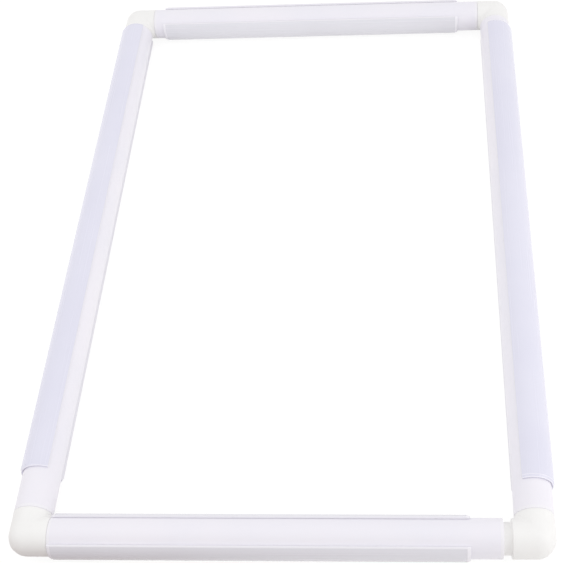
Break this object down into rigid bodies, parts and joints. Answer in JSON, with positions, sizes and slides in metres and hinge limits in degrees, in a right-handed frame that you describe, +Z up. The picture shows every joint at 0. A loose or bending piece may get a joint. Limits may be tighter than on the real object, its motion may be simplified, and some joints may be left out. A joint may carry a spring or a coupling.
{
  "type": "rectangular embroidery frame",
  "caption": "Flat rectangular frame of plastic tubes joined by plug-in elbows, with open C-shaped clamps pressed over the tubes to hold cloth stretched for needlework.",
  "frame": {"origin": "middle of the frame's footprint, in the plane of the table that its clamps rest on", "axes": "+X to the right along the short bars, +Y to the back along the long bars, +Z up out of the cloth's plane"},
  "size_m": [0.2824, 0.4348, 0.0234],
  "materials": {
    "tube": "extruded PVC, satin",
    "elbow": "moulded ivory plastic, fine matt",
    "clamp": "extruded PVC, satin"
  },
  "bodies": {
    "front_left_elbow": {"front_left_elbow": "elbow"},
    "front_right_elbow": {"front_right_elbow": "elbow"},
    "back_left_elbow": {"back_left_elbow": "elbow"},
    "back_right_elbow": {"back_right_elbow": "elbow"},
    "front_tube": {"front_tube": "tube"},
    "back_tube": {"back_tube": "tube"},
    "left_tube": {"left_tube": "tube"},
    "right_tube": {"right_tube": "tube"},
    "front_clamp": {"front_clamp": "clamp"},
    "back_clamp": {"back_clamp": "clamp"},
    "left_clamp": {"left_clamp": "clamp"},
    "right_clamp": {"right_clamp": "clamp"}
  },
  "joints": [
    {"name": "right_side_pull", "type": "slide", "parent": "front_left_elbow", "child": "front_right_elbow", "axis": [1, 0, 0], "range_m": [0, 0.02]},
    {"name": "back_side_pull", "type": "slide", "parent": "front_left_elbow", "child": "back_left_elbow", "axis": [0, 1, 0], "range_m": [0, 0.02]},
    {"name": "back_right_pull", "type": "slide", "parent": "back_left_elbow", "child": "back_right_elbow", "axis": [1, 0, 0], "range_m": [0, 0.02]},
    {"name": "front_tube_turn", "type": "hinge", "parent": "front_left_elbow", "child": "front_tube", "pos_m": [-0.1175, -0.20575, 0.0117], "axis": [1, 0, 0], "continuous": true},
    {"name": "left_tube_turn", "type": "hinge", "parent": "front_left_elbow", "child": "left_tube", "pos_m": [-0.1295, -0.19375, 0.0117], "axis": [0, 1, 0], "continuous": true},
    {"name": "back_tube_turn", "type": "hinge", "parent": "back_left_elbow", "child": "back_tube", "pos_m": [-0.1175, 0.20575, 0.0117], "axis": [1, 0, 0], "continuous": true},
    {"name": "right_tube_turn", "type": "hinge", "parent": "front_right_elbow", "child": "right_tube", "pos_m": [0.1295, -0.19375, 0.0117], "axis": [0, 1, 0], "continuous": true},
    {"name": "front_clamp_slide", "type": "slide", "parent": "front_tube", "child": "front_clamp", "axis": [1, 0, 0], "range_m": [0, 0.0204]},
    {"name": "back_clamp_slide", "type": "slide", "parent": "back_tube", "child": "back_clamp", "axis": [1, 0, 0], "range_m": [-0.0065, 0.0139]},
    {"name": "left_clamp_slide", "type": "slide", "parent": "left_tube", "child": "left_clamp", "axis": [0, 1, 0], "range_m": [-0.0229, 0]},
    {"name": "right_clamp_slide", "type": "slide", "parent": "right_tube", "child": "right_clamp", "axis": [0, 1, 0], "range_m": [-0.01645, 0.00645]}
  ],
  "couplings": [
    {"joint": "back_right_pull", "follows": "right_side_pull", "ratio": 1}
  ]
}
